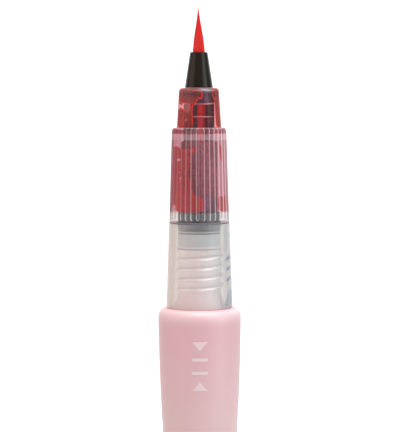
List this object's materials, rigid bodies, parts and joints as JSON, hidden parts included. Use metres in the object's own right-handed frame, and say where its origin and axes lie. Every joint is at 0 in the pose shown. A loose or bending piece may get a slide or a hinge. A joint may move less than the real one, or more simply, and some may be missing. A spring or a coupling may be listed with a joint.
{
  "type": "brush pen",
  "caption": "Squeeze-fed ink brush pen: soft tapered barrel, threaded frosted sleeve, clear grooved grip and nose, conical ferrule and red nylon brush tip, shown uncapped.",
  "frame": {"origin": "centre of the flat tail that the pen stands on", "axes": "+Z along the pen from the tail to the brush tip, -Y towards the finger mark on the barrel, +X to the right as the mark is faced"},
  "size_m": [0.0178, 0.0179, 0.139],
  "materials": {
    "pink_barrel": "soft satin",
    "ink_red": "wet",
    "frosted_plastic": "frosted clear",
    "clear_plastic": "clear",
    "black_plastic": "semi gloss",
    "bristle_red": "wetted nylon",
    "feed_grey": "matt",
    "sponge_rose": "felt",
    "plug_grey": "satin",
    "silicone": "soft"
  },
  "bodies": {
    "bottle": {"barrel": "pink_barrel", "ink_reserve": "ink_red"},
    "soft_wall": {"push_wall": "pink_barrel", "press_mark": "pink_barrel"},
    "seal": {"seal_ring": "silicone"},
    "front": {"sleeve": "frosted_plastic", "grip": "clear_plastic", "ferrule": "black_plastic", "bristle_root": "bristle_red", "root_disc": "bristle_red", "feed_rod": "sponge_rose", "feed_cage": "feed_grey", "ink_sponge": "sponge_rose", "ink_film": "ink_red", "plug": "plug_grey", "slit_valve": "silicone", "valve_retainer": "plug_grey"},
    "brush": {"bristle_tip": "bristle_red"}
  },
  "joints": [
    {"name": "push", "type": "slide", "parent": "bottle", "child": "soft_wall", "axis": [0, 1, 0], "range_m": [0, 0.0016], "stiffness_N_per_m": 5000},
    {"name": "section_lift", "type": "slide", "parent": "bottle", "child": "seal", "axis": [0, 0, 1], "range_m": [0, 0.00645]},
    {"name": "section_turn", "type": "hinge", "parent": "seal", "child": "front", "pos_m": [0, 0, 0.0906], "axis": [0, 0, 1], "range_deg": [0, 1080]},
    {"name": "bristle_bend", "type": "hinge", "parent": "front", "child": "brush", "pos_m": [0, 0, 0.131], "axis": [0, 1, 0], "range_deg": [-30, 30], "stiffness_Nm_per_rad": 0.0008}
  ],
  "couplings": [
    {"joint": "section_turn", "follows": "section_lift", "rad_per_m": 2922.4}
  ]
}
